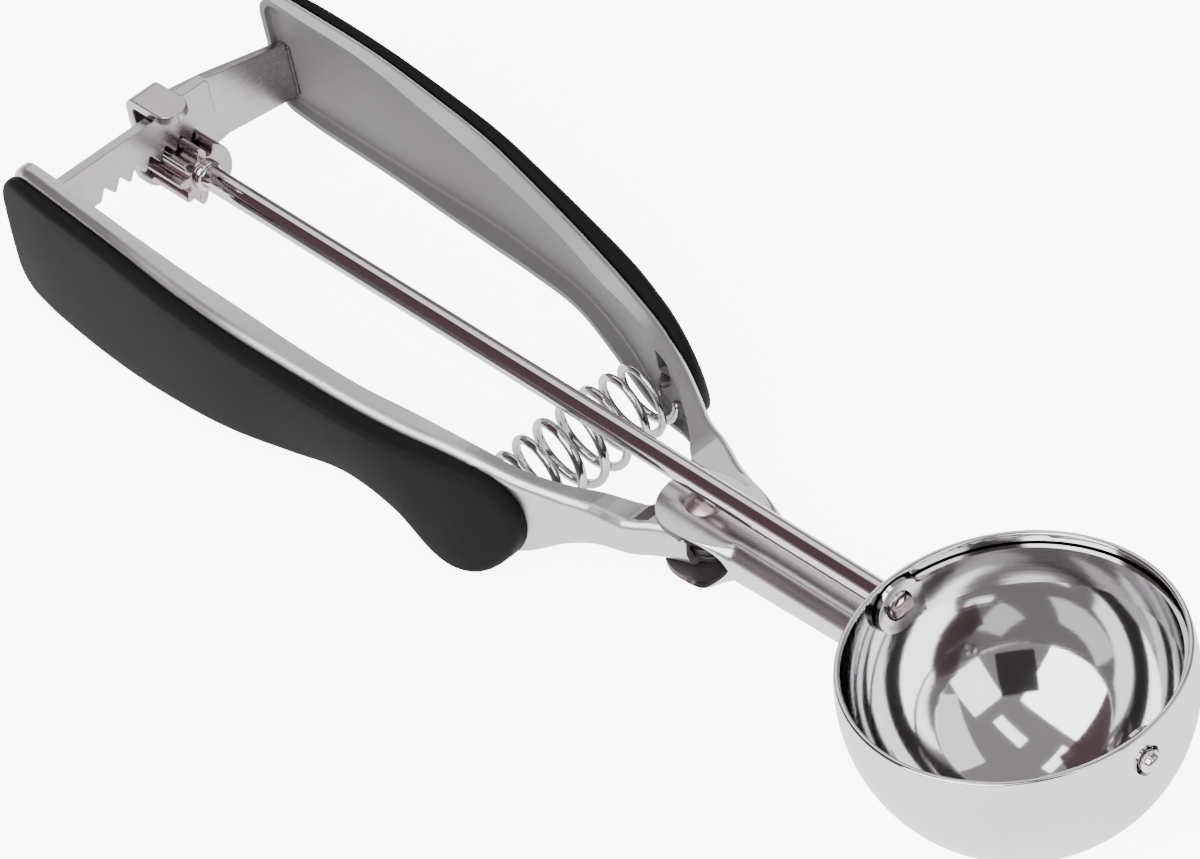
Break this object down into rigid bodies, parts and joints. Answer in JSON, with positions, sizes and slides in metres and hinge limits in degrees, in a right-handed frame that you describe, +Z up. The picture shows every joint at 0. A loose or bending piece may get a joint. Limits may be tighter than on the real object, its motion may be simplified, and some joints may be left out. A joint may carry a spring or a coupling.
{
  "type": "lever ice cream scoop",
  "caption": "Squeeze-handle ice cream scoop: a half-ball bowl with a curved blade that a rack and pinion sweep when the two sprung handles are pressed together.",
  "frame": {"origin": "on the surface that the tool lies on, under the middle of its bounding box", "axes": "+X towards the bowl along the tool, +Y towards the fixed handle, +Z up. The tool lies on its bowl and on the rear ends of its grips, so the rod rises by 5 degrees towards +X."},
  "size_m": [0.2262, 0.064, 0.0336],
  "materials": {
    "steel": "polished stainless sheet",
    "plate_steel": "ground steel plate",
    "rod_steel": "bright drawn bar",
    "rivet_steel": "formed head, smooth",
    "spring_steel": "bright spring wire",
    "grip_plastic": "fine satin moulded skin"
  },
  "bodies": {
    "frame": {"bowl": "steel", "stem": "steel", "fixed_handle": "steel", "fixed_grip": "grip_plastic", "guide_plate": "plate_steel", "pivot_rivet": "rivet_steel", "return_spring": "spring_steel"},
    "lever": {"lever_handle": "steel", "lever_grip": "grip_plastic", "rack": "plate_steel"},
    "shaft": {"drive_rod": "rod_steel", "pinion": "plate_steel", "scraper_blade": "steel", "blade_pin": "rod_steel"}
  },
  "joints": [
    {"name": "lever_squeeze", "type": "hinge", "parent": "frame", "child": "lever", "pos_m": [0.01916, 0, 0.01183], "axis": [0.0845, 0, -0.9964], "range_deg": [0, 6.36], "stiffness_Nm_per_rad": 8, "springref_deg": -2.86, "deforming": ["return_spring"]},
    {"name": "blade_sweep", "type": "hinge", "parent": "frame", "child": "shaft", "pos_m": [0.08565, 0, 0.0265], "axis": [-0.9964, 0, -0.0845], "range_deg": [0, 172]}
  ],
  "couplings": [
    {"joint": "blade_sweep", "follows": "lever_squeeze", "ratio": 27.024}
  ]
}
